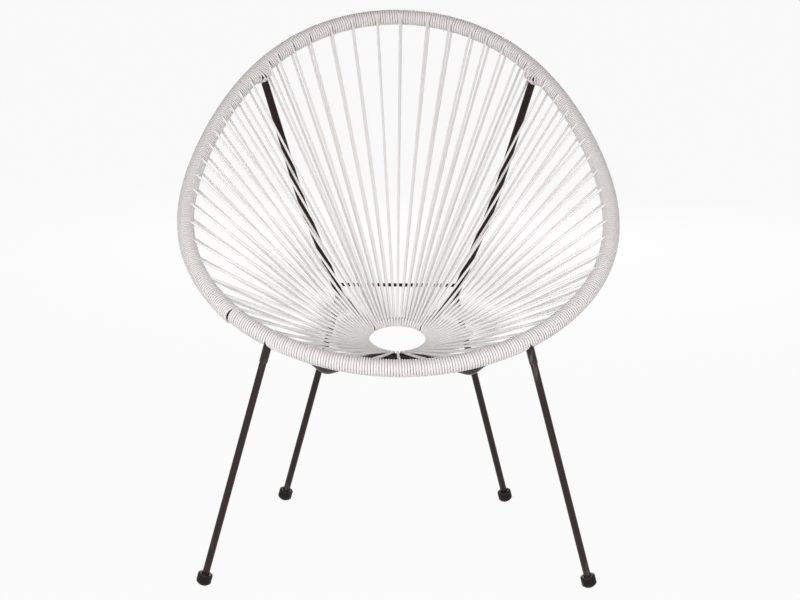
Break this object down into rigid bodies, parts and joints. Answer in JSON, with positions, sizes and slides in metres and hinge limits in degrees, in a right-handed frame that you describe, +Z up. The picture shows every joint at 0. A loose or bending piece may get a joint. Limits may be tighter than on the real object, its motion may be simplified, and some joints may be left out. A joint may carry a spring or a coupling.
{
  "type": "round string lounge chair",
  "caption": "Low lounge chair with a pear-shaped steel hoop wound with white cord, a shell of taut cords drawn to a small ring, and dark rod legs in domed caps.",
  "frame": {"origin": "the centre of the bounding box's underside, on the floor between the feet", "axes": "+Z up, the sitter faces -Y, +X is the sitter's left hand, to the right in a view from the front"},
  "size_m": [0.7296, 0.763, 0.8595],
  "materials": {
    "seat_cord": "extruded vinyl cord with a soft gloss",
    "frame_steel": "powder coated, satin dark brown-black",
    "stud_steel": "zinc plated",
    "cap_rubber": "moulded, soft gloss"
  },
  "bodies": {
    "root": {"rim_hoop": "frame_steel", "seat_ring": "frame_steel", "stay_left": "frame_steel", "stay_right": "frame_steel", "front_strut_left": "frame_steel", "front_strut_right": "frame_steel", "stay_crossbar": "frame_steel", "front_left_socket": "frame_steel", "front_left_stud": "stud_steel", "front_left_leg": "frame_steel", "front_left_foot_cap": "cap_rubber", "front_right_socket": "frame_steel", "front_right_stud": "stud_steel", "front_right_leg": "frame_steel", "front_right_foot_cap": "cap_rubber", "rear_left_socket": "frame_steel", "rear_left_stud": "stud_steel", "rear_left_leg": "frame_steel", "rear_left_foot_cap": "cap_rubber", "rear_right_socket": "frame_steel", "rear_right_stud": "stud_steel", "rear_right_leg": "frame_steel", "rear_right_foot_cap": "cap_rubber", "cord_front": "seat_cord", "cord_right_1": "seat_cord", "cord_right_2": "seat_cord", "cord_right_3": "seat_cord", "cord_right_4": "seat_cord", "cord_right_5": "seat_cord", "cord_back": "seat_cord", "cord_left_5": "seat_cord", "cord_left_4": "seat_cord", "cord_left_3": "seat_cord", "cord_left_2": "seat_cord", "cord_left_1": "seat_cord"}
  },
  "joints": []
}
